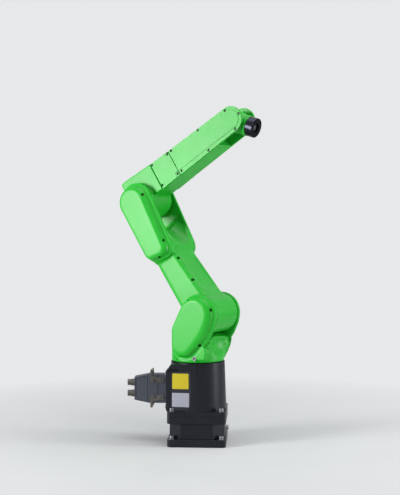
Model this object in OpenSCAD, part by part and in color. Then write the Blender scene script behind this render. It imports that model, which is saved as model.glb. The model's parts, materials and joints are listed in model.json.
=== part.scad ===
// Small six-axis collaborative robot arm on a square force-sensor stand.
// Millimetres. Origin on the first axis at the floor, +X the arm's front at zero,
// -X the cable side, +Z up. The near side in the photo is -Y, the arm's right.

/* [Pose as photographed] */
// Turret angle about the vertical axis
turn = -28.5; // [-170:0.5:170]
// Upper arm angle from upright, forward positive
lean = -34; // [-76:0.5:90]
// Forearm angle from square to the upper arm, up positive
lift = -1.8; // [-70:0.1:147]
// Wrist bend from the forearm line, up positive
bend = -49; // [-120:0.5:120]

/* [Links] */
// First axis to shoulder axis, forward
shoulder_reach = 50; // [40:1:60]
// Turret split to shoulder axis
turret_h = 158; // [140:1:180]
// Shoulder axis to elbow axis
upper_len = 440; // [400:1:500]
// Elbow axis to forearm axis
elbow_rise = 35; // [30:1:38]
// Elbow axis to wrist axis along the forearm
fore_len = 420; // [380:1:480]
// Wrist axis to tool flange face
flange_reach = 80; // [76:1:90]

/* [Stand] */
// Bolt square
bolt_span = 160; // [150:1:170]
// Bolt centre to the edge of the foot, stand plates and base foot
bolt_edge = 15; // [13:0.5:20]
// Bolt hole diameter
bolt_d = 12; // [10:0.5:13]
// Corner radius of the plates
foot_r = 12; // [6:1:14]
// Bottom plate thickness
foot_t = 24; // [18:1:30]
// Sensor core height
core_h = 51; // [40:1:70]
// Top plate thickness
top_t = 22; // [16:1:28]
// Sensor core set back from the plates' edges
core_inset = 6; // [4:0.5:9]
// Sensor core corner cut
core_cut = 36; // [32:1:42]
// Sensor port radius
port_r = 8; // [6:0.5:10]
// Sensor port length
port_l = 12; // [8:0.5:16]

/* [Base housing] */
// Base foot thickness
base_foot_t = 17; // [12:1:22]
// Housing height above the stand
base_h = 172; // [150:1:200]
// Housing foot radius set back from the edge of the base foot
drum_inset = 1.5; // [1:0.5:4]
// Growth of the radius down to the foot
drum_draft = 5.5; // [3:0.5:6.5]
// Rear wall past the edge of the base foot
rear_over = 2; // [0:0.5:6]
// Rear wall set in from the sides of the base foot
rear_inset = 15; // [11:0.5:20]
// Slope height at the rear top edge
rear_slope = 22; // [14:1:28]
// Rear panel thickness
panel_t = 3; // [2:0.5:5]
// Rear panel height
panel_h = 126; // [122:1:132]

/* [Connector] */
// Height of the connector centre above the stand
plug_z = 80.5; // [76:0.5:86]
// Half width of the connector
plug_half = 21.5; // [20:0.5:24]
// Half height of the connector
plug_tall = 47; // [45:0.5:50]
// Thickness of the panel shell's flange
shell_flange = 4; // [3:0.5:5]
// Depth of the panel shell
shell_d = 25; // [24:0.5:30]
// Seal thickness
seal_t = 2; // [1.5:0.1:3]
// Depth of the hood collar
collar_d = 32; // [30:0.5:36]
// Depth of the hood body
hood_d = 43; // [36:1:55]
// Gland radius
gland_r = 12.5; // [10:0.5:14]
// Gland length
gland_l = 24; // [16:1:32]
// Lever pivot and catch height from the connector centre
lever_up = 28; // [26:0.5:30]
// Lever pivot to catch
lever_reach = 22; // [21:0.5:24]

/* [Turret] */
// Skirt set back from the housing's top edge
skirt_inset = 2.5; // [2:0.5:5]
// Shoulder lug radius
lug_r = 66; // [64:0.5:70]
// Half gap between the shoulder forks
cheek_in = 67; // [66:0.5:72]
// Shoulder fork thickness
cheek_t = 33; // [28:0.5:38]
// Thickness of the fork's flat rim
cheek_step = 13; // [10:0.5:16]
// Mean width of the rim left free by the soft cover
cheek_rim = 6; // [5:0.5:8]
// Mean width of the cover's soft edge
cheek_edge = 15; // [12:0.5:17]
// Depth of the cover's soft edge
cheek_round = 18; // [14:0.5:19]
// Rearward shift of the cover's flat face
cheek_shift = 7; // [4:0.5:9]
// Lower round of the fork, forward of the first axis
low_x = 4; // [0:1:10]
// Lower round of the fork, above the split
low_z = 61; // [56:1:66]
// Radius of the lower round
low_r = 50; // [46:0.5:54]
// Straight rear edge of the fork above the lower round
rear_rise = 41; // [34:1:46]
// Reach of the tab at the right fork's front foot
tab_x = 80; // [74:1:84]
// Thickness of that tab
tab_t = 15; // [10:0.5:18]
// Belly in front of the first axis
belly_x = 92; // [88:1:98]
// Drop of the belly's lip towards the front
lip_drop = 14; // [8:1:20]
// Radius of the scoop under the lip
scoop_r = 57; // [52:0.5:60]
// Depth of that scoop
scoop_depth = 28; // [24:0.5:32]

/* [Upper arm] */
// Shoulder barrel radius
barrel_r = 64; // [62:0.5:66]
// Rear face of the beam behind the arm line
beam_rear = 57; // [54:0.5:60]
// Front face of the beam at its narrow end
beam_front = 28; // [24:0.5:32]
// Half width of the beam core
beam_half = 46; // [42:0.5:50]
// Beam side cover depth
beam_cover_t = 16; // [12:0.5:17]
// Elbow lug radius
elbow_lug_r = 61; // [58:0.5:64]
// Half gap between the elbow forks
elbow_in = 65; // [64:0.5:70]
// Elbow fork thickness
elbow_t = 32; // [26:0.5:36]
// Thickness of the elbow fork's flat rim
elbow_step = 10; // [8:0.5:14]
// Mean width of the rim left free by the soft cover
elbow_rim = 8; // [6:0.5:10]
// Mean width of that cover's soft edge
elbow_edge = 11; // [9:0.5:13]
// Depth of that cover's soft edge
elbow_round = 18; // [14:0.5:20]
// Rearward shift of that cover's flat face
elbow_shift = 6.5; // [4:0.5:8]
// Elbow axis to the lowest line of the fork's web
web_depth = 116; // [114:1:120]
// Rise of the web from there to the forks
web_rise = 24; // [20:1:28]
// Front edge of the web on the arm's middle line
web_x = 3; // [1:0.5:6]
// Elbow axis to the tip of the tongue-shaped scoop
tongue_depth = 210; // [204:1:216]
// Radius of that scoop
tongue_r = 80; // [76:1:86]
// Elbow axis to the fork's lower rounds
fork_depth = 178; // [170:1:190]
// Lower rear round of the elbow fork
fork_rear_r = 30; // [26:0.5:34]
// Lower front round of the elbow fork
fork_front_r = 37; // [34:0.5:40]

/* [Elbow and forearm] */
// Elbow barrel radius
elbow_r = 54; // [50:0.5:55]
// Elbow axis to the rear of the housing
elbow_back = 38; // [36:0.5:40]
// Half width of the elbow housing and forearm
fore_half = 47; // [46:0.5:49]
// Elbow axis to the forearm split
split_x = 97; // [92:1:104]
// Half height of the forearm at the split
split_half = 48.5; // [47:0.5:50]
// Elbow axis to the second cover seam
seam_x = 179.5; // [170:0.5:190]
// Half height of the forearm at that seam
seam_half = 46.5; // [45:0.5:48]
// Half height of the wrist fork
fork_half = 42.5; // [41:0.5:44]
// Fork end past the wrist axis
fork_past = 8; // [4:0.5:9]
// Wrist axis to the fork's root
fork_root = 82; // [80:1:88]
// Half gap of the wrist fork
fork_in = 37.5; // [36:0.5:38.5]
// Side cover thickness of the forearm
skin_t = 4; // [3:0.5:5]
// Side covers set in from the forearm's edge
skin_inset = 0.6; // [0.5:0.1:2]
// Raised pad of the side cover
pad_step = 1.5; // [1:0.1:2]
// Rim left round the raised pad
pad_rim = 12; // [10:0.5:14]

/* [Wrist] */
// Wrist barrel radius
wrist_r = 36; // [33:0.5:37]
// Nose radius
nose_r = 32.5; // [31:0.5:32.5]
// Nose ring length
nose_l = 11; // [8:0.5:14]
// Tool flange diameter
flange_d = 63;
// Tool flange length
flange_t = 24; // [20:0.5:26]
// Tool bolt circle diameter
tool_pcd = 50;
// Tool thread hole diameter
tool_hole_d = 6;
// Tool thread depth
tool_hole_l = 9;
// Tool pilot bore diameter
pilot_d = 31.5;
// Tool pilot bore depth
pilot_depth = 6.5; // [5:0.5:8]

/* [Clearances] */
// Gap at a bearing face
run_gap = 0.3;
// Visible seam at a turning joint
seam_gap = 1.5; // [1:0.1:2]
// Gap round a moving barrel
swing_gap = 5; // [5:0.5:6]

/* [Hidden] */
$fn = 96;

foot_w = bolt_span + 2 * bolt_edge;
core_w = foot_w - 2 * core_inset;
drum_r = foot_w / 2 - drum_inset - drum_draft;
rear_x = foot_w / 2 + rear_over;
rear_half = foot_w / 2 - rear_inset;
skirt_r = drum_r - skirt_inset;
stand_h = foot_t + core_h + top_t;
drum_z = stand_h + base_foot_t;
base_top = stand_h + base_h;
turret_z = base_top + seam_gap;
shoulder_z = base_top + turret_h;
plug_mid = stand_h + plug_z;
shell_x = -rear_x - panel_t;
seal_x = shell_x - shell_flange - shell_d;
hood_x = seal_x - seal_t;
lever_x = seal_x + lever_reach / 2;
pocket_r = barrel_r + swing_gap;
barrel_half = cheek_in - swing_gap;
elbow_half = elbow_in - swing_gap;
web_z = upper_len - web_depth;
web_top = web_z + web_rise;
channel_r = (pow(elbow_in - 3, 2) + pow(web_rise, 2)) / (2 * web_rise);
tongue_z = upper_len - tongue_depth;
fork_z = upper_len - fork_depth;
beam_top = fork_z - fork_front_r;
fork_front = fork_front_r + 4;
fork_end = fore_len + fork_past;
wrist_half = fork_in - swing_gap;
flange_x = flange_reach - flange_t;
flange_r = flange_d / 2;

// Rounds of the two soft forks, each x, z and radius
shoulder_rounds = [
    [shoulder_reach, shoulder_z, lug_r],
    [low_x, turret_z + low_z, low_r],
    [low_x, turret_z + low_z + rear_rise, low_r]
];
elbow_rounds = [
    [0, upper_len, elbow_lug_r],
    [fork_rear_r - beam_rear - 8, fork_z, fork_rear_r],
    [fork_front - fork_front_r, fork_z, fork_front_r]
];

// Frames of the moving bodies
module at_turret() rotate([0, 0, turn]) children();
module at_shoulder() at_turret() translate([shoulder_reach, 0, shoulder_z]) children();
module at_upper() at_shoulder() rotate([0, lean, 0]) children();
module at_elbow() at_upper() translate([0, 0, upper_len]) rotate([0, -lift, 0]) children();
module at_forearm() at_elbow() translate([0, 0, elbow_rise]) children();
module at_wrist() at_forearm() translate([fore_len, 0, 0]) rotate([0, -bend, 0]) children();

// Plate of a side outline, 2D x and y become x and z
module side(y0, y1) translate([0, y1, 0]) rotate([90, 0, 0]) linear_extrude(y1 - y0) children();

// Plate of an end outline, 2D x and y become y and z
module across(x0, x1) translate([x0, 0, 0]) rotate([90, 0, 90]) linear_extrude(x1 - x0) children();

module both_sides() {
    children();
    mirror([0, 1, 0]) children();
}

// Soft cover on round outlines, from depth y0 to y1, with an edge e wide and d deep on the y1 side.
// The flat face moves back by s
module pillow(rounds, y0, y1, e, d, s) {
    edge = [[0, 1], [0.06, 0.7], [0.24, 0.4], [0.5, 0.17], [0.78, 0.04], [1, 0]];
    hull() for (p = edge) side(y0, y1 - d * p[1])
        for (c = rounds) translate([c[0] - s * p[0], c[1]]) circle(c[2] - e * p[0], $fn = 44);
}

// Fork side: flat rim on the round outlines, then a soft cover that leaves the rim free
module fork_side(rounds, y0, step, y1, rim, e, d, s) {
    pillow(rounds, y0, y0 + step, 2, 2, 0);
    pillow([for (c = rounds) [c[0] - s / 2, c[1], c[2] - rim]], y0 + step - 2, y1, e, d, s);
}

// Solid round a list of circles, for seats and cuts
module outline(rounds, y0, y1, grow) hull()
    side(y0, y1) for (c = rounds) translate([c[0], c[1]]) circle(c[2] + grow, $fn = 44);

module square_plate(w, r, z0, z1) translate([0, 0, z0]) linear_extrude(z1 - z0) {
    square([w - 2 * r, w], center = true);
    square([w, w - 2 * r], center = true);
    for (x = [-1, 1], y = [-1, 1]) translate([x * (w / 2 - r), y * (w / 2 - r)]) circle(r);
}

// Stand
module stand_foot_plate() color("#32363d") difference() {
    square_plate(foot_w, foot_r, 0, foot_t);
    for (x = [-1, 1], y = [-1, 1])
        translate([x * bolt_span / 2, y * bolt_span / 2, -1]) cylinder(d = bolt_d, h = foot_t + 2);
}

module stand_core() color("#2b2f36") {
    h = core_w / 2;
    c = h - core_cut;
    translate([0, 0, foot_t]) linear_extrude(core_h) polygon([
        [h, c], [c, h], [-c, h], [-h, c], [-h, -c], [-c, -h], [c, -h], [h, -c]
    ]);
}

module sensor_port() color("#8d9197") translate([core_w / 2, 0, foot_t + core_h / 2]) {
    across(0, port_l * 0.25) square(3 * port_r, center = true);
    across(port_l * 0.1, port_l) circle(port_r);
}

module stand_top_plate() color("#32363d") square_plate(foot_w, foot_r, foot_t + core_h, stand_h);

// Base
module base_housing() color("#2f333a") {
    r0 = drum_r + drum_draft;
    difference() {
        union() {
            square_plate(foot_w, foot_r, stand_h, drum_z);
            translate([0, 0, drum_z]) cylinder(r1 = r0, r2 = drum_r, h = base_top - drum_z);
            intersection() {
                side(-r0, r0) polygon([
                    [0, drum_z - 1], [-rear_x, drum_z - 1], [-rear_x, base_top - rear_slope - 3],
                    [-rear_x + rear_slope * 0.65, base_top - 3], [0, base_top - 3]
                ]);
                translate([0, 0, drum_z - 2]) linear_extrude(base_h) polygon([
                    [0, r0 - 3], [-rear_x - 1, rear_half], [-rear_x - 1, -rear_half], [0, -r0 + 3]
                ]);
            }
        }
        both_sides() translate([-rear_x * 0.8, 0, base_top - rear_slope]) {
            for (x = [-rear_x * 0.15, rear_x * 0.15]) translate([x, 0, 0])
                side(rear_half * 0.95, r0 + 5) circle(rear_slope * 0.21);
            side(rear_half * 0.95, r0 + 5) square([rear_x * 0.3, rear_slope * 0.42], center = true);
        }
    }
    translate([0, 0, base_top - 1]) cylinder(r = skirt_r * 0.76, h = 1 + seam_gap - run_gap);
}

module base_rear_panel() color("#3a3f47") translate([0, 0, plug_mid])
    across(-rear_x - panel_t, -rear_x) square([rear_half * 1.75, panel_h], center = true);

// Connector on the rear panel
module lever_pins(x, r) both_sides() for (s = [-1, 1]) translate([x, 0, s * lever_up])
    side(plug_half - 1, plug_half + 3.4) circle(r);

module connector_shell() color("#4d515c") translate([0, 0, plug_mid]) {
    across(shell_x - shell_flange, shell_x) square([2.45 * plug_half, 2.55 * plug_tall], center = true);
    across(seal_x, shell_x - shell_flange / 2) square([2 * plug_half, 2 * plug_tall], center = true);
    lever_pins(lever_x, 3);
}

module connector_seal() color("#14151a") translate([0, 0, plug_mid])
    across(hood_x, seal_x) square([2 * plug_half - 1, 2 * plug_tall - 1], center = true);

module connector_hood() color("#555965") translate([0, 0, plug_mid]) {
    x1 = hood_x - collar_d;
    x2 = x1 - seal_t;
    x3 = x2 - hood_d;
    z2 = plug_tall - 1;
    z3 = plug_tall * 0.79;
    across(x1, hood_x) square([2 * plug_half, 2 * plug_tall], center = true);
    across(x2 - seal_t, x1 + seal_t) square([1.8 * plug_half, 1.9 * plug_tall], center = true);
    difference() {
        side(-plug_half + 1, plug_half - 1) polygon([[x2, z2], [x3, z3], [x3, -z3], [x2, -z2]]);
        both_sides() side(plug_half - 2.5, plug_half) polygon([
            [x2 - 4, z2 - 5], [x3 + 4, z3 - 4], [x3 + 4, -z3 + 4], [x2 - 4, -z2 + 5]
        ]);
    }
    lever_pins(lever_x - lever_reach, 3.5);
}

module cable_glands() color("#b9bcc2") translate([hood_x - collar_d - hood_d - seal_t, 0, plug_mid])
    for (s = [-1, 1]) translate([0, 0, s * gland_r * 1.44]) {
        across(-gland_l * 0.45, 0) circle(gland_r, $fn = 6);
        across(-gland_l, -gland_l * 0.3) circle(gland_r * 0.8);
    }

// Bail lever in its own plane, pivot at the origin, upward
module lever2d() difference() {
    k = lever_reach / 22;
    union() {
        circle(8 * k);
        polygon(k * [[4, 0], [0, -7.5], [-33, -7.5], [-38, 0], [-37, 34], [-30, 34], [-29, 14], [-3, 7.4]]);
    }
    circle(3 + run_gap);
    difference() {
        circle(lever_reach + 4);
        circle(lever_reach - 4);
        translate([-3 * lever_reach, 0]) square([6 * lever_reach, 3 * lever_reach]);
    }
    translate([-lever_reach, 0]) circle(4.1);
}

module lever() {
    k = lever_reach / 22;
    translate([lever_x, 0, lever_up]) {
        both_sides() side(plug_half + 0.4, plug_half + 2.4) lever2d();
        side(-plug_half - 2, plug_half + 2)
            polygon(k * [[-30.5, 28], [-30.5, 33.5], [-36.5, 33.5], [-36.5, 28]]);
    }
}

module lever_upper() color("#a9adb4") translate([0, 0, plug_mid]) lever();

module lever_lower() color("#a9adb4") translate([0, 0, plug_mid]) mirror([0, 0, 1]) lever();

// Turret
module turret_casting() color("#4fb35a") at_turret() difference() {
    lip = shoulder_z - pocket_r;
    rear = low_x + 6 - low_r;
    far = 2.2 * lug_r;
    fall = lip_drop / (belly_x - shoulder_reach);
    union() {
        translate([0, 0, turret_z]) cylinder(r = skirt_r, h = turret_h * 0.48);
        side(-cheek_in, cheek_in) polygon([
            [rear, turret_z + 4], [skirt_r * 0.75, turret_z + 4], [belly_x - 2, lip - lip_drop],
            [belly_x + 4, lip], [shoulder_reach * 0.6, lip + 30], [rear, lip + 18]
        ]);
        side(-cheek_in - tab_t, 3 - cheek_in) polygon([
            [low_x + 20, turret_z + 10], [tab_x - 4, turret_z + 10], [tab_x, turret_z + 34],
            [tab_x - 14, turret_z + 53], [low_x + 20, turret_z + 60]
        ]);
    }
    both_sides() outline(shoulder_rounds, cheek_in, cheek_in + 2 * cheek_t, run_gap);
    side(-cheek_in, cheek_in) translate([shoulder_reach, shoulder_z]) circle(pocket_r);
    side(-cheek_in, cheek_in) translate([shoulder_reach, shoulder_z]) polygon([
        [0, -pocket_r], [far, -pocket_r - fall * far], [far, far], [-far, far], [-far, -pocket_r * 0.5],
        [-pocket_r * 0.25, 2 - pocket_r]
    ]);
    translate([belly_x + scoop_r - scoop_depth, 0, lip - scoop_r / 2]) belly_scoop();
}

// Round-ended hollow, a lens profile turned about the left-right line
module belly_scoop() rotate([90, 0, 0]) rotate_extrude() intersection() {
    translate([scoop_r - cheek_in * 1.25, 0]) circle(cheek_in * 1.25);
    translate([0, -2 * cheek_in]) square([2 * scoop_r, 4 * cheek_in]);
}

module shoulder_fork() fork_side(
    shoulder_rounds, cheek_in, cheek_step, cheek_in + cheek_t,
    cheek_rim, cheek_edge, cheek_round, cheek_shift
);

module shoulder_fork_right() color("#5cc066") at_turret() mirror([0, 1, 0]) shoulder_fork();

module shoulder_fork_left() color("#5cc066") at_turret() shoulder_fork();

module shoulder_hubs() color("#6d7278") at_shoulder()
    both_sides() side(barrel_half + run_gap, cheek_in) circle(barrel_r * 0.8);

// Upper arm
module upper_arm_casting() color("#4fb35a") at_upper() {
    t = barrel_r * 0.98;
    side(-barrel_half, barrel_half) circle(barrel_r);
    side(-beam_half, beam_half) polygon([
        [-t, 0], [-beam_rear - 2, barrel_r], [-beam_rear, beam_top + 4], [beam_front, beam_top + 4],
        [beam_front, beam_top * 0.84], [beam_front + 3, beam_top * 0.67], [beam_front + 11, beam_top * 0.37],
        [beam_front + 20, beam_top * 0.25], [t, 0]
    ]);
    difference() {
        side(-elbow_in, elbow_in) polygon([
            [-beam_rear, beam_top + 2], [-beam_rear, web_top], [fork_front, web_top],
            [fork_front, beam_top + 26], [beam_front, beam_top + 2]
        ]);
        across(-2 * beam_rear, 2 * fork_front) translate([0, web_z + channel_r]) circle(channel_r);
        elbow_scoop();
    }
}

// Tongue-shaped scoop in the fork's front, room for the forearm folded down
module elbow_scoop() translate([fork_front, 0, tongue_z])
    rotate([0, -atan((fork_front - web_x) / (web_z - tongue_z)), 0])
        translate([tongue_r, 0, -tongue_r]) cylinder(r = tongue_r, h = 4 * tongue_r);

module beam_cover() {
    e = beam_cover_t * 0.88;
    difference() {
        hull() for (a = [0:18:90]) {
            i = e * (1 - cos(a));
            side(beam_half, beam_half + beam_cover_t - e + e * sin(a)) polygon([
                [-beam_rear + i, beam_top * 0.2], [-beam_rear + i, beam_top + 2 - run_gap],
                [beam_front - 1 - i, beam_top + 2 - run_gap], [beam_front + 17 - i, beam_top * 0.2]
            ]);
        }
        side(beam_half - 1, 2 * barrel_half) circle(barrel_r + run_gap);
    }
}

module beam_cover_right() color("#5cc066") at_upper() mirror([0, 1, 0]) beam_cover();

module beam_cover_left() color("#5cc066") at_upper() beam_cover();

module elbow_fork() fork_side(
    elbow_rounds, elbow_in, elbow_step, elbow_in + elbow_t,
    elbow_rim, elbow_edge, elbow_round, elbow_shift
);

module elbow_fork_right() color("#5cc066") at_upper() mirror([0, 1, 0]) elbow_fork();

module elbow_fork_left() color("#5cc066") at_upper() elbow_fork();

module elbow_hubs() color("#6d7278") at_upper() translate([0, 0, upper_len])
    both_sides() side(elbow_half + run_gap, elbow_in) circle(elbow_r * 0.8);

// Elbow
module elbow_housing() color("#4fb35a") at_elbow() {
    z1 = elbow_rise + split_half + 1.5;
    z0 = elbow_rise - split_half + 1.5;
    x1 = split_x - seam_gap;
    side(-elbow_half, elbow_half) circle(elbow_r);
    side(-fore_half, fore_half) polygon([
        [-elbow_back, elbow_r * 0.4], [-elbow_back, z1 + 2], [4 - elbow_back, z1 + 6],
        [14 - elbow_back, z1 + 7], [x1, z1], [x1, z0], [10, z0]
    ]);
}

module elbow_rear_cap() color("#5cc066") at_elbow()
    translate([-elbow_back, 0, elbow_rise + split_half * 0.55])
        across(-4, 0) square([1.72 * fore_half, 0.9 * split_half], center = true);

module forearm_bearing() color("#6d7278") at_forearm()
    across(split_x - seam_gap, split_x - run_gap) circle(split_half * 0.75);

// Forearm, origin on its own axis. Side outline from half height h at x0 to the round fork end
module fork_tail(y0, y1, x0, h, r) translate([fork_end, 0, 0]) union() {
    side(y0, y1) circle(r);
    side(y0, y1) polygon([[x0 - fork_end, h], [0, r - 0.3], [0, 0.3 - r], [x0 - fork_end, -h]]);
}

module forearm_casting() color("#4fb35a") at_forearm() difference() {
    y = fore_half - skin_t;
    union() {
        side(-y, y) translate([fork_end, 0]) circle(fork_half);
        side(-y, y) polygon([
            [split_x, split_half], [seam_x, seam_half], [fork_end, fork_half - 0.3],
            [fork_end, 0.3 - fork_half], [seam_x, -seam_half], [split_x, -split_half]
        ]);
    }
    side(-fork_in, fork_in) translate([fore_len, 0]) circle(fork_root);
    side(-fork_in, fork_in) translate([fore_len, -fork_root]) square(2 * fork_root);
}

module fore_panel() side(fore_half - skin_t, fore_half) polygon([
    [split_x + 1, split_half - skin_inset], [seam_x - 1, seam_half - skin_inset],
    [seam_x - 1, skin_inset - seam_half], [split_x + 1, skin_inset - split_half]
]);

module forearm_panel_right() color("#5cc066") at_forearm() mirror([0, 1, 0]) fore_panel();

module forearm_panel_left() color("#5cc066") at_forearm() fore_panel();

// Side cover with a raised pad that keeps a rim along the fork's end and its lower edge
module wrist_cover() {
    y = fore_half - skin_t;
    r = fork_half - pad_rim;
    lap = skin_inset + 0.7;
    fork_tail(y, fore_half - pad_step, seam_x + 1, seam_half - skin_inset, fork_half - skin_inset);
    side(y + 0.5, fore_half) translate([fork_end, 0]) circle(r);
    side(y + 0.5, fore_half) polygon([
        [seam_x + 1, -r], [seam_x + 1, seam_half - lap], [fork_end - r * 0.4, fork_half - lap],
        [fork_end + r * 0.38, r * 0.9], [fork_end, 0.3 - r]
    ]);
}

module wrist_cover_right() color("#5cc066") at_forearm() mirror([0, 1, 0]) wrist_cover();

module wrist_cover_left() color("#5cc066") at_forearm() wrist_cover();

module wrist_hubs() color("#6d7278") at_forearm() translate([fore_len, 0, 0])
    both_sides() side(wrist_half + run_gap, fork_in) circle(wrist_r * 0.75);

// Wrist and tool flange
module wrist_housing() color("#4fb35a") at_wrist() {
    x1 = flange_x - nose_l;
    side(-wrist_half, wrist_half) circle(wrist_r);
    across(0, x1 - 2) circle(nose_r);
    across(x1 - 3, x1) circle(nose_r * 0.9);
}

module nose_ring() color("#5cc066") at_wrist() {
    across(flange_x - nose_l, flange_x - seam_gap) circle(nose_r);
    across(flange_x - 2 * seam_gap, flange_x - run_gap) circle(nose_r * 0.75);
}

module tool_flange() color("#7c8086") at_wrist() difference() {
    across(flange_x, flange_reach) circle(flange_r);
    across(flange_reach - pilot_depth, flange_reach + 1) circle(d = pilot_d);
    across(flange_reach - 1.5 * pilot_depth, flange_reach) circle(d = pilot_d * 0.78);
    for (k = [0:3]) rotate([90 * k + 45, 0, 0]) translate([flange_reach - tool_hole_l, 0, tool_pcd / 2])
        rotate([0, 90, 0]) cylinder(d = tool_hole_d, h = tool_hole_l + 1);
}

module flange_plug() color("#9a9ea5") at_wrist()
    across(flange_reach - 1.5 * pilot_depth, flange_reach - pilot_depth) circle(d = pilot_d * 0.62);

stand_foot_plate();
stand_core();
sensor_port();
stand_top_plate();
base_housing();
base_rear_panel();
connector_shell();
connector_seal();
connector_hood();
cable_glands();
lever_upper();
lever_lower();
turret_casting();
shoulder_fork_right();
shoulder_fork_left();
shoulder_hubs();
upper_arm_casting();
beam_cover_right();
beam_cover_left();
elbow_fork_right();
elbow_fork_left();
elbow_hubs();
elbow_housing();
elbow_rear_cap();
forearm_bearing();
forearm_casting();
forearm_panel_right();
forearm_panel_left();
wrist_cover_right();
wrist_cover_left();
wrist_hubs();
wrist_housing();
nose_ring();
tool_flange();
flange_plug();
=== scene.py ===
"""Looks of the six-axis arm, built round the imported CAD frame.

Places, radii and lengths are millimetres in a body's own frame, unless a name ends in _M for metres.
"""
import json
import math

import bmesh
import bpy
import numpy as np
from mathutils import Matrix, Vector


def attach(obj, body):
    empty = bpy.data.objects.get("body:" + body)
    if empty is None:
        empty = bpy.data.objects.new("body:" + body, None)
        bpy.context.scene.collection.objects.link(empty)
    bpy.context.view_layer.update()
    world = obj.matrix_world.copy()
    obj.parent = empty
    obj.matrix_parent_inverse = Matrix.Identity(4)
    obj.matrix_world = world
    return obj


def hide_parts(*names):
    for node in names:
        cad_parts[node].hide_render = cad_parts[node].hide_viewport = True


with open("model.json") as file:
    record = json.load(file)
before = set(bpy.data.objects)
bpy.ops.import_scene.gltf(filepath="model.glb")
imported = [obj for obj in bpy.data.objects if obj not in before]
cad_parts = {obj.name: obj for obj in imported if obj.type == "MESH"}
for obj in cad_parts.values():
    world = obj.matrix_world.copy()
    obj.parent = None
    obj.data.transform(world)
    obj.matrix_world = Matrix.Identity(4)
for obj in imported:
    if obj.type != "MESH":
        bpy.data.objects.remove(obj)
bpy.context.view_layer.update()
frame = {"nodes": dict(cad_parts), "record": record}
NODES = frame["nodes"]
JOINTS = {j["name"]: j for j in frame["record"]["behaviour"]["joints"]}
MM = 0.001
SIDES = (-1, 1)  # the arm's right and left
UP, BACKWARD = Vector((0, 0, 1)), Vector((-1, 0, 0))

# Sizes that repeat the part's source
CHEEK_IN, BARREL_HALF = 67.0, 62.0
ELBOW_IN, ELBOW_HALF = 65.0, 60.0
UPPER_LEN, FORE_HALF, ELBOW_RISE = 440.0, 47.0, 35.0
SPLIT_X, SPLIT_HALF = 97.0, 48.5
FOOT_TOP, BASE_FOOT_TOP = 24.0, 114.0
BOLT_HALF, PLUG_MID = 80.0, 177.5
SHOULDER_X, SHOULDER_Z = 50.0, 427.0


def local_frame(origin, x, z):
    """Matrix of a body's own axes: x and z as given, y to the arm's left."""
    y = z.cross(x)
    m = Matrix((x, y, z)).transposed().to_4x4()
    m.translation = origin
    return m


LEFT = Vector(JOINTS["axis_2_lean"]["axis"]).normalized()
J2 = Vector(JOINTS["axis_2_lean"]["pos_m"])
J3 = Vector(JOINTS["axis_3_lift"]["pos_m"])
J5 = Vector(JOINTS["axis_5_bend"]["pos_m"])
ARM = (J3 - J2).normalized()
FORE = Vector(JOINTS["axis_4_roll"]["axis"]).normalized()
NOSE = Vector(JOINTS["axis_6_spin"]["axis"]).normalized()
BASE = Matrix.Identity(4)
TURRET = local_frame(Vector((0, 0, 0)), LEFT.cross(UP), UP)
UPPER = local_frame(J2, LEFT.cross(ARM), ARM)
ELBOW = local_frame(J3, FORE, FORE.cross(LEFT))
WRIST = local_frame(J5, NOSE, NOSE.cross(LEFT))

# Materials
DRIFT_SCALE, WEAR_SCALE, MARK_SCALE = 9.0, 36.0, 46.0
MARK_START, MARK_FULL = 0.66, 0.80
WORN_KEEP, WORN_ADD = 0.55, 0.30
BUMP_STRENGTH = 0.5


def node_tree(name):
    m = bpy.data.materials.new(name)
    m.use_nodes = True
    t = m.node_tree
    return m, t, t.nodes["Principled BSDF"]


def link(t, a, out, b, inp):
    t.links.new(a.outputs[out], b.inputs[inp])


def noise(t, scale, detail, rough, coords):
    n = t.nodes.new("ShaderNodeTexNoise")
    n.inputs["Scale"].default_value = scale
    n.inputs["Detail"].default_value = detail
    n.inputs["Roughness"].default_value = rough
    link(t, coords, "Object", n, "Vector")
    return n


def ramp(t, src, stops):
    """Colour ramp on a noise, from (position, colour) stops."""
    r = t.nodes.new("ShaderNodeValToRGB")
    for e, (p, c) in zip(r.color_ramp.elements, stops):
        e.position = p
        e.color = (*c, 1.0)
    link(t, src, "Fac", r, "Fac")
    return r


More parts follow.
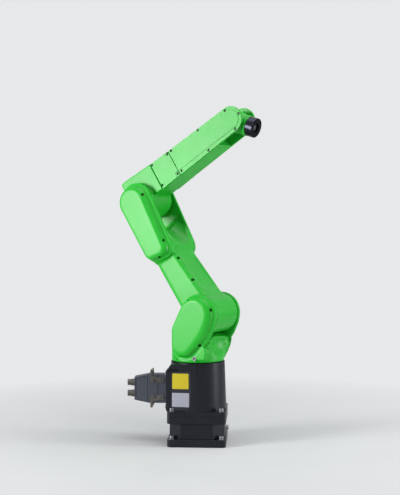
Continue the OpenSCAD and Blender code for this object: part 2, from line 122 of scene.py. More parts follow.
def finish_material(name, dark, light, rough, metallic=0.0, grain=900.0, grain_depth_m=0.00004,
                    specular=0.5, stretch=None, scuff=0.0):
    """Paint, metal or rubber: broad colour drift, fine grain in bump, uneven gloss, a few pale scuffs."""
    m, t, b = node_tree(name)
    coords = t.nodes.new("ShaderNodeTexCoord")
    drift = noise(t, DRIFT_SCALE, 5.0, 0.6, coords)
    colour = ramp(t, drift, [(0.3, dark), (0.7, light)])
    marks = noise(t, MARK_SCALE, 8.0, 0.78, coords)
    rub = ramp(t, marks, [(MARK_START, (0.0, 0.0, 0.0)), (MARK_FULL, (scuff, scuff, scuff))])
    worn = t.nodes.new("ShaderNodeMix")
    worn.data_type = "RGBA"
    worn.inputs["B"].default_value = (*[min(1.0, WORN_KEEP * c + WORN_ADD) for c in light], 1.0)
    link(t, rub, "Color", worn, "Factor")
    link(t, colour, "Color", worn, "A")
    link(t, worn, "Result", b, "Base Color")
    fine = noise(t, grain, 3.0, 0.6, coords)
    if stretch:
        mapping = t.nodes.new("ShaderNodeMapping")
        mapping.inputs["Scale"].default_value = stretch
        link(t, coords, "Object", mapping, "Vector")
        link(t, mapping, "Vector", fine, "Vector")
    wear = noise(t, WEAR_SCALE, 4.0, 0.65, coords)
    level = t.nodes.new("ShaderNodeMapRange")
    level.inputs["To Min"].default_value = rough[0]
    level.inputs["To Max"].default_value = rough[1]
    link(t, wear, "Fac", level, "Value")
    link(t, level, "Result", b, "Roughness")
    bump = t.nodes.new("ShaderNodeBump")
    bump.inputs["Strength"].default_value = BUMP_STRENGTH
    bump.inputs["Distance"].default_value = grain_depth_m
    link(t, fine, "Fac", bump, "Height")
    link(t, bump, "Normal", b, "Normal")
    b.inputs["Metallic"].default_value = metallic
    b.inputs["Specular IOR Level"].default_value = specular
    return m


GREEN = finish_material("green_paint", (0.012, 0.40, 0.020), (0.018, 0.45, 0.028), (0.32, 0.42),
                        grain=700.0, grain_depth_m=0.00005, specular=0.30, scuff=0.25)
DARK = finish_material("dark_grey_paint", (0.0075, 0.009, 0.0125), (0.0115, 0.0135, 0.018), (0.32, 0.44),
                       grain=800.0, grain_depth_m=0.00005, specular=0.20, scuff=0.10)
# Grey of the side pads, paler than the base's dark paint: painted light, so that the pads look more lit than the
# wall round them.
PAD_PAINTED_LIGHT = finish_material("pad_painted_light", (0.020, 0.022, 0.027), (0.027, 0.030, 0.036), (0.42, 0.55),
                      grain=1500.0, grain_depth_m=0.00005, specular=0.20, scuff=0.10)
GREY = finish_material("connector_grey", (0.045, 0.051, 0.068), (0.060, 0.067, 0.088), (0.42, 0.58),
                       grain=1600.0, grain_depth_m=0.00007, specular=0.30, scuff=0.2)
RUBBER = finish_material("black_rubber", (0.006, 0.006, 0.007), (0.010, 0.010, 0.012), (0.55, 0.75),
                         grain=1200.0, specular=0.2)
STEEL = finish_material("plated_steel", (0.26, 0.265, 0.28), (0.36, 0.365, 0.38), (0.24, 0.38),
                        1.0, 500.0, 0.00003, stretch=(6.0, 6.0, 0.4))
LEVER_STEEL = finish_material("lever_steel", (0.105, 0.098, 0.090), (0.165, 0.155, 0.140), (0.26, 0.40),
                              1.0, 500.0, 0.00003, stretch=(0.4, 6.0, 6.0))
BLACK_STEEL = finish_material("blackened_steel", (0.045, 0.046, 0.050), (0.075, 0.077, 0.082),
                              (0.30, 0.44), 0.9, 600.0, 0.00003)
BEARING = finish_material("bearing_steel", (0.12, 0.125, 0.135), (0.17, 0.175, 0.19), (0.32, 0.44),
                          1.0, 500.0, 0.00003)
FLANGE = finish_material("flange_steel", (0.018, 0.019, 0.026), (0.034, 0.035, 0.046), (0.20, 0.32),
                         1.0, 420.0, 0.00003)
# Dark green for faces cut into the skins and covers: painted shade in screw pits, small holes, marks and the seam's
# groove.
PAINTED_PIT_SHADE = finish_material("pit_painted_shade", (0.003, 0.022, 0.005), (0.005, 0.032, 0.007), (0.6, 0.8), specular=0.1)
YELLOW = finish_material("yellow_plate", (0.50, 0.40, 0.014), (0.57, 0.46, 0.022), (0.42, 0.55),
                         specular=0.3, scuff=0.2)
SILVER = finish_material("silver_plate", (0.34, 0.345, 0.41), (0.41, 0.415, 0.48), (0.36, 0.48),
                         0.3, 600.0, 0.00002, specular=0.3, stretch=(0.3, 8.0, 8.0))

# Mesh tools
PIECE_SHARP, SKIN_SHARP, CARVED_SHARP = 32.0, 40.0, 30.0  # degrees


def linked(name, data):
    """New object in the scene."""
    o = bpy.data.objects.new(name, data)
    bpy.context.scene.collection.objects.link(o)
    return o


def add_piece(name, mesh, body, materials, sharp=PIECE_SHARP):
    """Makes the object of a finished mesh, smooth with sharp corners, and lets it ride."""
    for mat in materials:
        mesh.materials.append(mat)
    mesh.shade_smooth()
    mesh.set_sharp_from_angle(angle=math.radians(sharp))
    o = linked(name, mesh)
    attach(o, body)
    return o


def mesh_from(name, build, where):
    """Mesh of a build's points and faces, placed in the row frame, with its faces outward."""
    me = bpy.data.meshes.new(name)
    me.from_pydata([tuple(where @ (Vector(v) * MM)) for v in build.verts], [], build.faces)
    me.validate()
    me.update()
    if len(set(build.slots)) > 1 and len(me.polygons) == len(build.slots):
        me.polygons.foreach_set("material_index", build.slots)
    bm = bmesh.new()
    bm.from_mesh(me)
    bmesh.ops.recalc_face_normals(bm, faces=bm.faces)
    bm.to_mesh(me)
    bm.free()
    return me


def basis(axis):
    z = Vector(axis).normalized()
    x = z.orthogonal().normalized()
    return x, z.cross(x), z


def circle(at, axis, radius, height, n):
    """n points round an axis through at, height along it."""
    x, y, z = basis(axis)
    angles = [k * math.tau / n for k in range(n)]
    return [at + x * (radius * math.cos(a)) + y * (radius * math.sin(a)) + z * height for a in angles]


def hexagon(at, axis, radius, height, n):
    """n points on a hexagon round an axis, radius to its corners."""
    x, y, z = basis(axis)
    sixth = math.pi / 6
    points = []
    for k in range(n):
        a = k * math.tau / n
        d = (a + sixth) % (math.pi / 3) - sixth
        s = radius * math.cos(sixth) / math.cos(d)
        points.append(at + x * (s * math.cos(a)) + y * (s * math.sin(a)) + z * height)
    return points


class Build:
    """Collects rings and plates of one piece, in millimetres, in a body's frame."""

    def __init__(self):
        self.verts, self.faces, self.slots = [], [], []

    def ring(self, points):
        start = len(self.verts)
        self.verts += [tuple(p) for p in points]
        return list(range(start, start + len(points)))

    def face(self, loop, mat):
        self.faces.append(loop)
        self.slots.append(mat)

    def bridge(self, a, b, mat):
        n = len(a)
        for i in range(n):
            self.face([a[i], a[(i + 1) % n], b[(i + 1) % n], b[i]], mat)

    def stack(self, rings, mat=0):
        """Closed body through rings of points."""
        ids = [self.ring(r) for r in rings]
        for a, b in zip(ids, ids[1:]):
            self.bridge(a, b, mat)
        self.face(ids[0][::-1], mat)
        self.face(ids[-1], mat)

    def collar(self, at, axis, inner, outer, low, high, edge, n):
        """Flat ring from height low to high. edge is the width and height of its outer bevel."""
        profile = [(inner, low), (outer, low), (outer, high - edge[1]), (outer - edge[0], high), (inner, high)]
        ids = [self.ring(circle(at, axis, r, h, n)) for r, h in profile]
        for a, b in zip(ids, ids[1:] + ids[:1]):
            self.bridge(a, b, 0)

    def make(self, name, where, body, materials):
        add_piece(name, mesh_from(name, self, where), body, materials)


SCREW_POINTS = 24


def screw(build, at, axis, head, tall, mat=0):
    """Socket head screw with rounded edge and hexagon socket. at is the centre of the head's top."""
    at, r, n = Vector(at), head / 2, SCREW_POINTS
    rim = [(r, -tall), (r, -0.12 * head), (r * 0.96, -0.04 * head), (r * 0.86, 0.0), (r * 0.62, 0.0)]
    socket = [(r * 0.56, -0.02 * head), (r * 0.54, -0.45 * tall)]
    build.stack([circle(at, axis, s, h, n) for s, h in rim] + [hexagon(at, axis, s, h, n) for s, h in socket], mat)


def sunk_screws(name, points, where, body, head, deep, tall):
    """Socket screws at the bottom of their pits."""
    b = Build()
    for at, axis in points:
        screw(b, at - axis * (deep - tall), axis, head, tall)
    b.make(name, where, body, [BLACK_STEEL])


PIT_POINTS, PIT_PROUD = 28, 12.0


def pit_tools(pits):
    """Cutters for screw pits: place, direction, diameter, depth."""
    holes = Build()
    for at, axis, d, deep in pits:
        holes.stack([circle(at, axis, d / 2, h, PIT_POINTS) for h in (-deep, PIT_PROUD)])
    return holes


def both(points):
    """Adds the mirrored copy on the arm's other side to each placed direction."""
    out = []
    for at, axis in points:
        out.append((Vector(at), Vector(axis).normalized()))
        out.append((Vector((at[0], -at[1], at[2])), Vector((axis[0], -axis[1], axis[2])).normalized()))
    return out


def evaluated(o):
    """Mesh of an object with its modifiers applied; the object goes."""
    bpy.context.view_layer.update()
    me = bpy.data.meshes.new_from_object(o.evaluated_get(bpy.context.evaluated_depsgraph_get()))
    bpy.data.objects.remove(o)
    return me


def cut(mesh, build, where, solver):
    """Takes closed cutters out of a green mesh. The cut faces get the second material, a dark green that paints
    shade into the cuts.
    """
    cutter = mesh_from("cutter", build, where)
    cutter.polygons.foreach_set("material_index", [1] * len(cutter.polygons))
    for me in (mesh, cutter):
        me.materials.append(GREEN)
        me.materials.append(PAINTED_PIT_SHADE)
    body, tool = linked("cut_body", mesh), linked("cut_tool", cutter)
    mod = body.modifiers.new("cut", "BOOLEAN")
    mod.operation = "DIFFERENCE"
    mod.object = tool
    mod.solver = solver
    mod.use_self = solver == "EXACT"
    out = evaluated(body)
    bpy.data.objects.remove(tool)
    out.materials.clear()
    return out


def gathered(nodes, where):
    """Scratch object with the CAD nodes' solids in a body's own frame."""
    inverse = where.inverted()
    verts, faces = [], []
    for node in nodes:
        me = NODES[node].data
        start = len(verts)
        verts += [tuple(inverse @ v.co) for v in me.vertices]
        faces += [[start + i for i in p.vertices] for p in me.polygons]
    raw = bpy.data.meshes.new("raw")
    raw.from_pydata(verts, [], faces)
    return linked("raw", raw)


# Soft skins over the castings
SMOOTH_STEP = 0.5
FIRST_ROUNDS, PROBE_ROUNDS, SPREAD_ROUNDS = 6, 16, 6
HOLLOW_LIFT, HOLLOW_GAIN = (0.05, 0.45), 1.6


def rise(v, span):
    """Soft step from 0 where the span starts to 1 where it ends."""
    lo, hi = span
    t = np.clip((v - lo) / (hi - lo), 0.0, 1.0)
    return t * t * (3 - 2 * t)


def fall(v, span):
    return 1 - rise(v, span)


def smooth_points(co, edges, weight, rounds):
    """Moves each point towards the mean of its neighbours, by its own weight."""
    n = len(co)
    a, b = edges[:, 0], edges[:, 1]
    count = np.bincount(a, minlength=n) + np.bincount(b, minlength=n)
    step = (SMOOTH_STEP * weight / np.maximum(count, 1))[:, None]
    keep = (SMOOTH_STEP * weight)[:, None]
    for _ in range(rounds):
        total = np.stack([np.bincount(a, co[b, k], n) + np.bincount(b, co[a, k], n) for k in range(3)], 1)
        co = co + total * step - co * keep
    return co


def skin(name, nodes, where, voxel, rounds, weight, body, pits=(), convex=0.2, move=None):
    """One cast skin over several CAD solids: fused and remeshed, hollows filleted, outer edges kept tighter.

    weight gives each point's share of that smoothing and its least smoothing, move shifts points before it.
    """
    o = gathered(nodes, where)
    mod = o.modifiers.new("fuse", "REMESH")
    mod.mode = "VOXEL"
    mod.voxel_size = voxel * MM
    me = evaluated(o)
    n = len(me.vertices)
    co = np.empty(n * 3)
    me.vertices.foreach_get("co", co)
    co = co.reshape(n, 3)
    ends = np.empty(len(me.edges) * 2, dtype=np.int32)
    me.edges.foreach_get("vertices", ends)
    ends = ends.reshape(-1, 2)
    full = np.ones(n)
    co = smooth_points(co, ends, full, FIRST_ROUNDS)
    if move:
        co = move(co / MM) * MM
    me.vertices.foreach_set("co", co.ravel())
    me.update()
    normal = np.empty(n * 3)
    me.vertices.foreach_get("normal", normal)
    lift = ((smooth_points(co, ends, full, PROBE_ROUNDS) - co) * normal.reshape(n, 3)).sum(1) / MM
    hollow = rise(lift, HOLLOW_LIFT)
    hollow = smooth_points(np.stack([hollow] * 3, 1), ends, full, SPREAD_ROUNDS)[:, 0]
    share, least = weight(co / MM)
    soft = np.maximum(least, share * (convex + (1.0 - convex) * np.clip(HOLLOW_GAIN * hollow, 0.0, 1.0)))
    co = smooth_points(co, ends, soft, rounds)
    rot = np.array(where)
    co = co @ rot[:3, :3].T + rot[:3, 3]
    me.vertices.foreach_set("co", co.ravel())
    me.update()
    # Pits cut in, their faces in painted shade.
    if pits:
        me = cut(me, pit_tools(pits), where, "MANIFOLD")
    piece = add_piece(name, me, body, [GREEN, PAINTED_PIT_SHADE], SKIN_SHARP)
    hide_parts(*nodes)


# Rounded edges on plain solids
WELD_M, DISSOLVE_DEG = 0.00001, 0.5
BEVEL_SEGMENTS, BEVEL_DEG = 3, 35.0
NORMAL_WEIGHT = 60
FLAT_DOT, FACE_SLACK = 0.999, 0.1


def bevel_stack(o, width):
    """Merged flat faces and rounded edges, as modifiers."""
    weld = o.modifiers.new("weld", "WELD")
    weld.merge_threshold = WELD_M
    flat = o.modifiers.new("flat", "DECIMATE")
    flat.decimate_type = "DISSOLVE"
    flat.angle_limit = math.radians(DISSOLVE_DEG)
    bev = o.modifiers.new("edge", "BEVEL")
    bev.width = width * MM
    bev.segments = BEVEL_SEGMENTS
    bev.limit_method = "ANGLE"
    bev.angle_limit = math.radians(BEVEL_DEG)
    bev.use_clamp_overlap = True
    bev.miter_outer = "MITER_ARC"


def even_normals(o):
    """Large flat faces keep their own shading next to rounded edges."""
    mod = o.modifiers.new("normal", "WEIGHTED_NORMAL")
    mod.weight = NORMAL_WEIGHT
    mod.keep_sharp = True


def carved(node, where, width, tools, body):
    """A CAD solid with rounded edges and cut details, in place of its node."""
    o = gathered([node], where)
    bevel_stack(o, width)
    me = evaluated(o)
    me.transform(where)
    # Details cut in, their faces in painted shade except those left on the outer face.
    me = cut(me, tools, where, "EXACT")
    piece = add_piece(node + "_skin", me, body, [GREEN, PAINTED_PIT_SHADE], CARVED_SHARP)
    reach = max(abs((v.co - where.translation).dot(LEFT)) for v in me.vertices)
    for poly in me.polygons:
        if abs(poly.normal.dot(LEFT)) > FLAT_DOT:
            poly.use_smooth = False
            if abs((poly.center - where.translation).dot(LEFT)) > reach - FACE_SLACK * MM:
                poly.material_index = 0
    even_normals(piece)
    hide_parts(node)


# Screws of the large castings
PIT_D, PIT_DEEP, HEAD_D, HEAD_TALL = 11.0, 10.0, 6.6, 3.0
CRISP, STEP_CRISP, WEB_CRISP, WRIST_CRISP = 0.95, 0.85, 0.9, 0.9


def pits_of(points, d, deep):
    """Placed directions as pits of one size."""
    return [(at, axis, d, deep) for at, axis in points]


def end_band(at):
    """Where a barrel or a housing gets crisp towards its end face."""
    return at - 8.0, at - 3.0


# Turret, with zones as the start and end of a soft change
TURRET_SCREWS = both([((102.2, -86.3, 446.0), (0.80, -0.55, 0.25)),
                      ((57.8, -80.2, 331.3), (0.35, -0.92, -0.17))])
TURRET_HOLES = both([((-45.5, -72.3, 284.6), (-0.53, -0.85, 0)), ((-31.9, -79.3, 279.5), (-0.35, -0.94, 0)),
                     ((-2.4, -92.6, 291.1), (-0.06, -0.6, -0.8)), ((25.2, -98.3, 474.1), (-0.19, -0.83, 0.52))])
TURRET_HOLE_D, TURRET_HOLE_DEEP = 5.5, 6.0
CHEEK_SEAM_OFF, CHEEK_SEAM_R = (2.0, 9.0), (68.0, 76.0)
SKIRT_FOOT_Z = (271.0, 277.0)
CHEEK_STEP_IN, CHEEK_STEP_OUT, CHEEK_STEP_Z = (73.0, 77.0), (84.0, 90.0), (305.0, 325.0)
LIP_Y, LIP_X, LIP_Z = (64.0, 70.0), (50.0, 60.0), (300.0, 320.0)
SOFT_REAR, SOFT_REAR_LOW, SOFT_REAR_HIGH, SOFT_REAR_X = 0.8, (277.0, 285.0), (296.0, 322.0), (10.0, 26.0)


def turret_weight(p):
    """Seam, skirt's foot, step beside the cover and belly's lip stay crisp; the rear over the skirt gets softer."""
    x, y, z = p[:, 0], np.abs(p[:, 1]), p[:, 2]
    radial = np.hypot(x - SHOULDER_X, z - SHOULDER_Z)
    seam = fall(np.abs(y - CHEEK_IN), CHEEK_SEAM_OFF) * fall(radial, CHEEK_SEAM_R)
    foot = fall(z, SKIRT_FOOT_Z)
    step = rise(y, CHEEK_STEP_IN) * fall(y, CHEEK_STEP_OUT) * rise(z, CHEEK_STEP_Z)
    lip = fall(y, LIP_Y) * rise(x, LIP_X) * rise(z, LIP_Z)
    share = 1.0 - CRISP * np.maximum.reduce([seam, foot, STEP_CRISP * step, lip])
    least = SOFT_REAR * rise(z, SOFT_REAR_LOW) * fall(z, SOFT_REAR_HIGH) * fall(x, SOFT_REAR_X)
    return share, least


FORK_OUT, FORK_Y = 11.0, (64.0, 68.0)
FORK_LOW_LEFT, FORK_LOW_RIGHT, FORK_LOW_RUN = 268.0, 296.0, 32.0
FORK_TOP, FORK_TOP_RUN = 408.0, 48.0
FORK_REAR_X, FORK_REAR_RUN = 10.0, 60.0
LIP_BACK, LIP_BACK_Y, LIP_BACK_X, LIP_BACK_Z = 11.0, (36.0, 68.0), (60.0, 92.0), (318.0, 340.0)


def turret_move(p):
    """Forks' front edges further out above the skirt, the belly's lip drawn in towards its ends."""
    x, y, z = p[:, 0], np.abs(p[:, 1]), p[:, 2]
    fork = rise(y, FORK_Y)
    low = np.where(p[:, 1] > 0, FORK_LOW_LEFT, FORK_LOW_RIGHT)
    slope = np.minimum(np.clip((z - low) / FORK_LOW_RUN, 0.0, 1.0), np.clip((FORK_TOP - z) / FORK_TOP_RUN, 0.0, 1.0))
    out = FORK_OUT * fork * slope * np.clip((x - FORK_REAR_X) / FORK_REAR_RUN, 0.0, 1.0)
    back = LIP_BACK * (1 - fork) * rise(y, LIP_BACK_Y) * rise(x, LIP_BACK_X) * rise(z, LIP_BACK_Z)
    q = p.copy()
    q[:, 0] += out - back
    return q


skin("turret_skin", ["turret_casting", "shoulder_fork_right", "shoulder_fork_left"], TURRET, 2.0, 30,
     turret_weight, "turret",
     pits_of(TURRET_SCREWS, PIT_D, PIT_DEEP) + pits_of(TURRET_HOLES, TURRET_HOLE_D, TURRET_HOLE_DEEP),
     move=turret_move)
sunk_screws("turret_screws", TURRET_SCREWS, TURRET, "turret", HEAD_D, PIT_DEEP, HEAD_TALL)

# Washer screw on the turret's tab
WASHER_POINTS, WASHER_EDGE = 32, (0.4, 0.5)
TAB_AT, TAB_AXIS, TAB_HEAD_D, TAB_HEAD_TALL = Vector((37.6, -82.0, 285.7)), Vector((0, -1, 0)), 8.6, 3.4
tab = Build()
tab.collar(TAB_AT, TAB_AXIS, 4.2, 7.6, 0.0, 1.5, WASHER_EDGE, WASHER_POINTS)
screw(tab, TAB_AT + TAB_AXIS * TAB_HEAD_TALL, TAB_AXIS, TAB_HEAD_D, TAB_HEAD_TALL, 1)
tab.make("turret_washer_screw", TURRET, "turret", [BEARING, BLACK_STEEL])

# Upper arm
UPPER_SCREWS = both([((44.4, -90.6, 437.3), (0.67, -0.74, -0.05)), ((28.0, -87.0, 268.6), (0.86, -0.5, -0.1)),
                     ((-18.0, -80.0, 237.0), (0.05, -0.70, -0.72)), ((27.0, -55.9, 199.8), (0.89, -0.45, 0.09)),
                     ((34.4, -57.5, 111.2), (0.71, -0.70, 0.07))])
UPPER_HOLES = both([((5.9, -90.0, 491.5), (-0.1, -0.8, 0.6))])
UPPER_HOLE_D, UPPER_HOLE_DEEP = 4.5, 5.0
BARREL_SEAM_R, FORK_SEAM_R = (66.0, 74.0), (60.0, 68.0)
FORK_FACE_Y = (ELBOW_IN + 2.0, ELBOW_IN + 8.0)
FORK_STEP_IN, FORK_STEP_OUT, FORK_STEP_Z, FORK_STEP_X = (69.0, 73.0), (80.0, 86.0), (205.0, 225.0), (-30.0, -5.0)
WEB_Y, WEB_Z = (62.0, 68.0), (218.0, 240.0)
FORK_LONGER, FORK_END_Y, FORK_END_Z = 6.0, (60.0, 66.0), (226.0, 262.0)


def upper_weight(p):
    """Both joints' seams, the step beside the fork's cover and the web's scoop stay crisp."""
    x, y, z = p[:, 0], np.abs(p[:, 1]), p[:, 2]
    low, high = np.hypot(x, z), np.hypot(x, z - UPPER_LEN)
    seam = rise(y, end_band(BARREL_HALF)) * fall(low, BARREL_SEAM_R)
    inner = fall(y, FORK_FACE_Y) * fall(high, FORK_SEAM_R)
    step = rise(y, FORK_STEP_IN) * fall(y, FORK_STEP_OUT) * rise(z, FORK_STEP_Z) * rise(x, FORK_STEP_X)
    web = fall(y, WEB_Y) * rise(z, WEB_Z)
    share = 1.0 - CRISP * np.maximum.reduce([seam, inner, STEP_CRISP * step, WEB_CRISP * web])
    return share, np.zeros(len(p))


def upper_move(p):
    """Lower end of the elbow fork's sides a little longer."""
    q = p.copy()
    q[:, 2] -= FORK_LONGER * rise(np.abs(p[:, 1]), FORK_END_Y) * fall(p[:, 2], FORK_END_Z)
    return q


skin("upper_arm_skin", ["upper_arm_casting", "beam_cover_right", "beam_cover_left", "elbow_fork_right",
                        "elbow_fork_left"], UPPER, 2.0, 40, upper_weight, "upper_arm",
     pits_of(UPPER_SCREWS, PIT_D, PIT_DEEP) + pits_of(UPPER_HOLES, UPPER_HOLE_D, UPPER_HOLE_DEEP),
     move=upper_move)
sunk_screws("upper_arm_screws", UPPER_SCREWS, UPPER, "upper_arm", HEAD_D, PIT_DEEP, HEAD_TALL)

# Elbow
CAP_X, CAP_MID = -42.0, ELBOW_RISE + 0.55 * SPLIT_HALF
CAP_SCREWS = [(Vector((CAP_X, y, CAP_MID + z)), BACKWARD) for y in (-34, 34) for z in (-16, 16)]
CAP_PIT_D, CAP_PIT_DEEP, CAP_HEAD_D, CAP_HEAD_TALL = 8.5, 4.0, 6.2, 3.0
ELBOW_SEAM_R = (56.0, 62.0)


def elbow_weight(p):
    """The joint's seam and the split to the forearm stay crisp."""
    r = np.hypot(p[:, 0], p[:, 2])
    seam = rise(np.abs(p[:, 1]), end_band(ELBOW_HALF)) * fall(r, ELBOW_SEAM_R)
    split = rise(p[:, 0], end_band(SPLIT_X))
    return 1.0 - CRISP * np.maximum(seam, split), np.zeros(len(p))


skin("elbow_skin", ["elbow_housing", "elbow_rear_cap"], ELBOW, 1.8, 40, elbow_weight, "elbow",
     pits_of(CAP_SCREWS, CAP_PIT_D, CAP_PIT_DEEP), 0.12)
sunk_screws("elbow_cap_screws", CAP_SCREWS, ELBOW, "elbow", CAP_HEAD_D, CAP_PIT_DEEP, CAP_HEAD_TALL)

# Forearm covers, in the elbow's frame at rest: places as distance along the forearm and height
EDGE_AT = [(428.4, 69.0), (464.5, 32.5), (428.4, -1.6), (312.0, 73.5), (311.0, -3.4), (191.0, 75.0), (190.0, -2.0)]
PANEL_AT = [(173.5, 75.3), (173.5, -2.6), (103.0, 77.0), (102.5, -1.5)]
MARK_AT = [(410.0, 62.2), (410.8, 10.2)]
CUT_PROUD = 6.0
TABS_Z = ((-14.0, 5.0, 5.0), (70.5, 84.0, 70.5))  # low, high and inner edge
TAB_END_X, TAB_SIDE_X, TAB_SIDE_HALF, TAB_DEEP = (164.6, 166.0), (166.5, 181.0), 0.7, 1.8
# Groove under the panel's seam, its faces in painted shade.
SEAM_X, SEAM_Z, SEAM_DEEP = (178.4, 180.6), (-11.0, 81.0), 7.5
COVER_EDGE, CASTING_EDGE = 0.9, 2.2


def on_covers(places):
    """Placed directions on both covers' faces."""
    return [(Vector((x, s * FORE_HALF, z)), Vector((0, s, 0))) for s in SIDES for x, z in places]


FORE_SCREWS = on_covers(EDGE_AT + PANEL_AT)
FORE_PITS = pits_of(FORE_SCREWS, 9.4, 7.0)
MARKS = pits_of(on_covers(MARK_AT), 3.2, 1.5)


def slab(build, xs, ys, zs):
    """Box cutter between three pairs of planes."""
    (x0, x1), (y0, y1) = xs, ys
    build.stack([[(x0, y0, z), (x1, y0, z), (x1, y1, z), (x0, y1, z)] for z in zs])


def face_span(s, deep):
    """Low and high y of a cut on side s, from deep under the cover's face to clear of it."""
    return sorted((s * (FORE_HALF - deep), s * (FORE_HALF + CUT_PROUD)))


def cover_tools():
    """Screw pits, and the grooves round the two tabs at the seam's ends."""
    b = pit_tools(FORE_PITS + MARKS)
    for s in SIDES:
        ys = face_span(s, TAB_DEEP)
        for low, high, inner in TABS_Z:
            slab(b, TAB_END_X, ys, (low, high))
            slab(b, TAB_SIDE_X, ys, (inner - TAB_SIDE_HALF, inner + TAB_SIDE_HALF))
    return b


def casting_tools():
    """Screw pits, and a deep groove under the seam between panel and wrist cover, whose faces in painted shade show
    the seam as a dark line.
    """
    b = pit_tools(FORE_PITS)
    for s in SIDES:
        slab(b, SEAM_X, face_span(s, SEAM_DEEP), SEAM_Z)
    return b


for side_name in ("right", "left"):
    for cover in ("wrist_cover_", "forearm_panel_"):
        carved(cover + side_name, ELBOW, COVER_EDGE, cover_tools(), "forearm")
carved("forearm_casting", ELBOW, CASTING_EDGE, casting_tools(), "forearm")
sunk_screws("forearm_screws", FORE_SCREWS, ELBOW, "forearm", 5.4, 6.8, 2.4)

# Wrist
WRIST_SEAM_Y, WRIST_SEAM_R, WRIST_FRONT_X = (26.0, 30.0), (37.0, 41.0), (36.0, 40.0)


def wrist_weight(p):
    """The joint's seam and the nose's front stay crisp."""
    barrel = np.hypot(p[:, 0], p[:, 2])
    seam = rise(np.abs(p[:, 1]), WRIST_SEAM_Y) * fall(barrel, WRIST_SEAM_R)
    return 1.0 - WRIST_CRISP * np.maximum(seam, rise(p[:, 0], WRIST_FRONT_X)), np.zeros(len(p))


skin("wrist_skin", ["wrist_housing"], WRIST, 1.3, 26, wrist_weight, "wrist", convex=0.15)

# Seal rings in the side gaps of the three bending joints: place from the middle, inner and outer radius
RING_LOW, RING_HIGH, RING_EDGE, RING_POINTS = -0.5, 3.2, (0.8, 0.8), 96
for joint, where, body, ring_y, inner_r, outer_r in [
        ("shoulder", UPPER, "upper_arm", BARREL_HALF, 51.8, 62.6),
        ("elbow", ELBOW, "elbow", ELBOW_HALF, 43.8, 52.6),
        ("wrist", WRIST, "wrist", 32.5, 27.6, 35.0)]:
    rings = Build()
    for s in SIDES:
        rings.collar(Vector((0, s * ring_y, 0)), Vector((0, s, 0)), inner_r, outer_r, RING_LOW, RING_HIGH,
                     RING_EDGE, RING_POINTS)
    rings.make(joint + "_seal_rings", where, body, [GREEN])

# Screws and washers on the stand's and the base's feet
FOOT_HEAD_D, FOOT_HEAD_TALL, FOOT_HEAD_TOP = 15.6, 10.0, 11.6
corners = Build()
for x in (-BOLT_HALF, BOLT_HALF):
    for y in (-BOLT_HALF, BOLT_HALF):
        for z in (FOOT_TOP, BASE_FOOT_TOP):
            at = Vector((x, y, z))
            corners.collar(at, UP, 5.6, 9.6, 0.0, 1.8, WASHER_EDGE, WASHER_POINTS)
            screw(corners, at + UP * FOOT_HEAD_TOP, UP, FOOT_HEAD_D, FOOT_HEAD_TALL, 1)
corners.make("foot_screws", BASE, "base", [BEARING, BEARING])

# Plates on the base's flat sides, which draw in towards the rear
WALL_AT = Vector((0, -90.5, 0))
WALL_ALONG, WALL_OUT = Vector((-98.0, 10.5, 0)).normalized(), Vector((-10.5, -98.0, 0)).normalized()
PLATE_SUNK, PLATE_WALL, PLATE_EDGE = 1.0, 0.6, 0.4
CORNER_STEPS, CORNER_STEP_DEG = 7, 15


def wall_plate(name, s, xs, zs, low, thick, corner, material):
    """Thin plate with rounded corners on side s of the base, low above the wall."""
    (x0, x1), (z0, z1) = xs, zs

    def point(x, z, out):
        p = WALL_AT + WALL_ALONG * (-x) + WALL_OUT * out
        return Vector((p.x, p.y * -s, z))

    def outline(inset, out):
        pts = []
        r = corner - inset
        for cx, cz, a0 in ((x1, z1, 0), (x0, z1, 90), (x0, z0, 180), (x1, z0, 270)):
            mid_x = cx + (-1 if cx == x1 else 1) * corner
            mid_z = cz + (-1 if cz == z1 else 1) * corner
            for k in range(CORNER_STEPS):
                a = math.radians(a0 + CORNER_STEP_DEG * k)
                pts.append(point(mid_x + r * math.cos(a), mid_z + r * math.sin(a), out))
        return pts

    b = Build()
    b.stack([outline(0.0, low - PLATE_SUNK), outline(0.0, low + thick * PLATE_WALL),
             outline(thick * PLATE_EDGE, low + thick)])
    b.make(name, BASE, "base", [material])


PAD_XS, PAD_ZS, PAD_T, PAD_CORNER, PLATE_T = (-80.5, -17.0), (116.0, 242.0), 1.2, 4.0, 0.7
# Side pads in a paler grey than the wall, as painted light.
for side_name, s in zip(("right", "left"), SIDES):
    wall_plate("side_pad_" + side_name, s, PAD_XS, PAD_ZS, 0.0, PAD_T, PAD_CORNER, PAD_PAINTED_LIGHT)
wall_plate("yellow_plate", -1, (-78.0, -25.0), (187.0, 237.0), PAD_T, PLATE_T, 3.0, YELLOW)
wall_plate("silver_plate", -1, (-79.0, -23.0), (129.0, 174.5), PAD_T, PLATE_T, 1.5, SILVER)

# Screws of the rear panel and of the connector's flange: place of the head, half width, head, height
REAR_HALF_Z = 54
rear = Build()
for head_x, half_y, head, tall in [(-103.2, 61, 6.4, 3.4), (-107.0, 22.5, 5.2, 3.2)]:
    for y in (-half_y, half_y):
        for z in (-REAR_HALF_Z, REAR_HALF_Z):
            screw(rear, (head_x, y, PLUG_MID + z), BACKWARD, head, tall)
rear.make("rear_screws", BASE, "base", [STEEL])

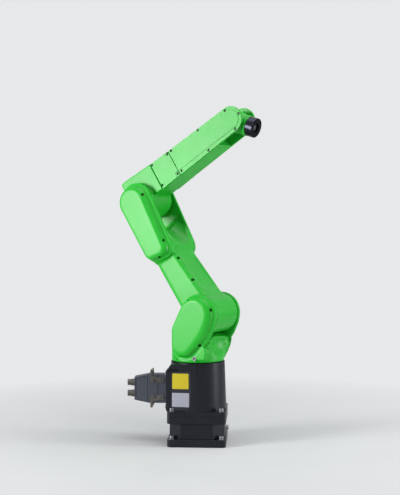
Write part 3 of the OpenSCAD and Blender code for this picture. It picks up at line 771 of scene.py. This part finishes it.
# CAD nodes that stay: rounded edges by modifiers, better materials
for node, material, width in [
        ("stand_foot_plate", DARK, 1.6), ("stand_core", DARK, 1.2), ("stand_top_plate", DARK, 1.6),
        ("base_housing", DARK, 1.8), ("base_rear_panel", DARK, 0.8), ("sensor_port", STEEL, 0.6),
        ("connector_shell", GREY, 1.0), ("connector_seal", RUBBER, 0.3), ("connector_hood", GREY, 1.4),
        ("cable_glands", LEVER_STEEL, 0.8), ("lever_upper", LEVER_STEEL, 0.4),
        ("lever_lower", LEVER_STEEL, 0.4), ("shoulder_hubs", BEARING, 0.3), ("elbow_hubs", BEARING, 0.3),
        ("wrist_hubs", BEARING, 0.3), ("forearm_bearing", BEARING, 0.2), ("nose_ring", GREEN, 0.8),
        ("tool_flange", FLANGE, 0.6), ("flange_plug", BEARING, 0.4)]:
    kept = NODES[node]
    kept.data.materials.clear()
    kept.data.materials.append(material)
    bevel_stack(kept, width)
    even_normals(kept)

# Camera at the photograph's angle, fitted to the picture's 495 pixels of height
AZ, EL, DIST_M = math.radians(3.4), math.radians(1.74), 3.64896
FOCAL_PX, PICTURE_PX, SENSOR = 1112.4, 495.0, 36.0
AIM_UP_M, AIM_RIGHT_M = 0.64045, 0.0067
BACK = Vector((math.sin(AZ) * math.cos(EL), -math.cos(AZ) * math.cos(EL), math.sin(EL)))
RIGHT = Vector((math.cos(AZ), math.sin(AZ), 0))
cam = bpy.data.cameras.new("camera")
cam.sensor_fit = "VERTICAL"
cam.sensor_height = SENSOR
cam.lens = FOCAL_PX * SENSOR / PICTURE_PX
cam_obj = linked("camera", cam)
pose = Matrix((RIGHT, BACK.cross(RIGHT), BACK)).transposed().to_4x4()
pose.translation = Vector((0, 0, AIM_UP_M)) + RIGHT * AIM_RIGHT_M + BACK * DIST_M
cam_obj.matrix_world = pose
bpy.context.scene.camera = cam_obj

# Floor, light and background
BACKDROP, FILL = (0.80, 0.81, 0.82, 1), (0.21, 0.21, 0.215, 1)
FLOOR_DARK, FLOOR_LIGHT = (0.72, 0.73, 0.74), (0.75, 0.76, 0.77)
FLOOR_HALF_M, FLOOR_DROP_M = 40, 0.0005
FADE_START_M, FADE_END_M = 0.4, 1.5


def math_node(t, operation):
    n = t.nodes.new("ShaderNodeMath")
    n.operation = operation
    return n


def floor_material():
    """Pale matt floor that fades into the backdrop, for the camera, away from the stand."""
    m, t, b = node_tree("floor_pale")
    coords = t.nodes.new("ShaderNodeTexCoord")
    n = noise(t, 3.0, 3.0, 0.5, coords)
    c = ramp(t, n, [(0.3, FLOOR_DARK), (0.7, FLOOR_LIGHT)])
    link(t, c, "Color", b, "Base Color")
    b.inputs["Roughness"].default_value = 0.9
    b.inputs["Specular IOR Level"].default_value = 0.1
    dist = t.nodes.new("ShaderNodeVectorMath")
    dist.operation = "LENGTH"
    link(t, coords, "Object", dist, 0)
    far = t.nodes.new("ShaderNodeMapRange")
    far.inputs["From Min"].default_value = FADE_START_M
    far.inputs["From Max"].default_value = FADE_END_M
    link(t, dist, "Value", far, "Value")
    path = t.nodes.new("ShaderNodeLightPath")
    seen = math_node(t, "MULTIPLY")
    link(t, path, "Is Camera Ray", seen, 0)
    link(t, far, "Result", seen, 1)
    glow = t.nodes.new("ShaderNodeEmission")
    glow.inputs["Color"].default_value = BACKDROP
    mix = t.nodes.new("ShaderNodeMixShader")
    link(t, seen, "Value", mix, 0)
    link(t, b, "BSDF", mix, 1)
    link(t, glow, "Emission", mix, 2)
    link(t, mix, "Shader", t.nodes["Material Output"], "Surface")
    return m


h = FLOOR_HALF_M
floor_mesh = bpy.data.meshes.new("floor")
floor_mesh.from_pydata([(-h, -h, 0), (h, -h, 0), (h, h, 0), (-h, h, 0)], [], [(0, 1, 2, 3)])
floor_mesh.materials.append(floor_material())
floor = linked("floor", floor_mesh)
floor.location.z = -FLOOR_DROP_M


def area_light(name, at, look, size, power, colour=(1, 1, 1), spread=180.0):
    """Soft lamp: place, aim and size in metres, power in watts, spread in degrees."""
    lamp = bpy.data.lights.new(name, "AREA")
    lamp.shape = "RECTANGLE"
    lamp.size, lamp.size_y = size
    lamp.energy = power
    lamp.color = colour
    lamp.spread = math.radians(spread)
    o = linked(name, lamp)
    o.location = at
    o.rotation_euler = (Vector(look) - Vector(at)).to_track_quat("-Z", "Y").to_euler()
    o.visible_camera = False


area_light("left_soft", (-3.0, -1.7, 0.95), (0, 0, 0.6), (1.1, 1.5), 36, spread=95.0)
area_light("right_strip", (2.8, -0.4, 0.6), (0, 0, 0.5), (0.6, 1.8), 52, (0.95, 0.98, 1.0))
area_light("top_soft", (0.6, -0.4, 3.2), (0, 0, 0.5), (2.4, 2.4), 55)

# World: a soft fill, seen as the backdrop by the camera and in reflections
world = bpy.data.worlds.new("studio")
world.use_nodes = True
bpy.context.scene.world = world
wt = world.node_tree
paths = wt.nodes.new("ShaderNodeLightPath")
shown, also = math_node(wt, "MAXIMUM"), math_node(wt, "MAXIMUM")
link(wt, paths, "Is Camera Ray", shown, 0)
link(wt, paths, "Is Glossy Ray", also, 0)
link(wt, paths, "Is Transmission Ray", also, 1)
link(wt, also, "Value", shown, 1)
mixed = wt.nodes.new("ShaderNodeMix")
mixed.data_type = "RGBA"
mixed.inputs["A"].default_value = FILL
mixed.inputs["B"].default_value = BACKDROP
link(wt, shown, "Value", mixed, "Factor")
link(wt, mixed, "Result", wt.nodes["Background"], "Color")
bpy.context.scene.view_settings.view_transform = "Standard"
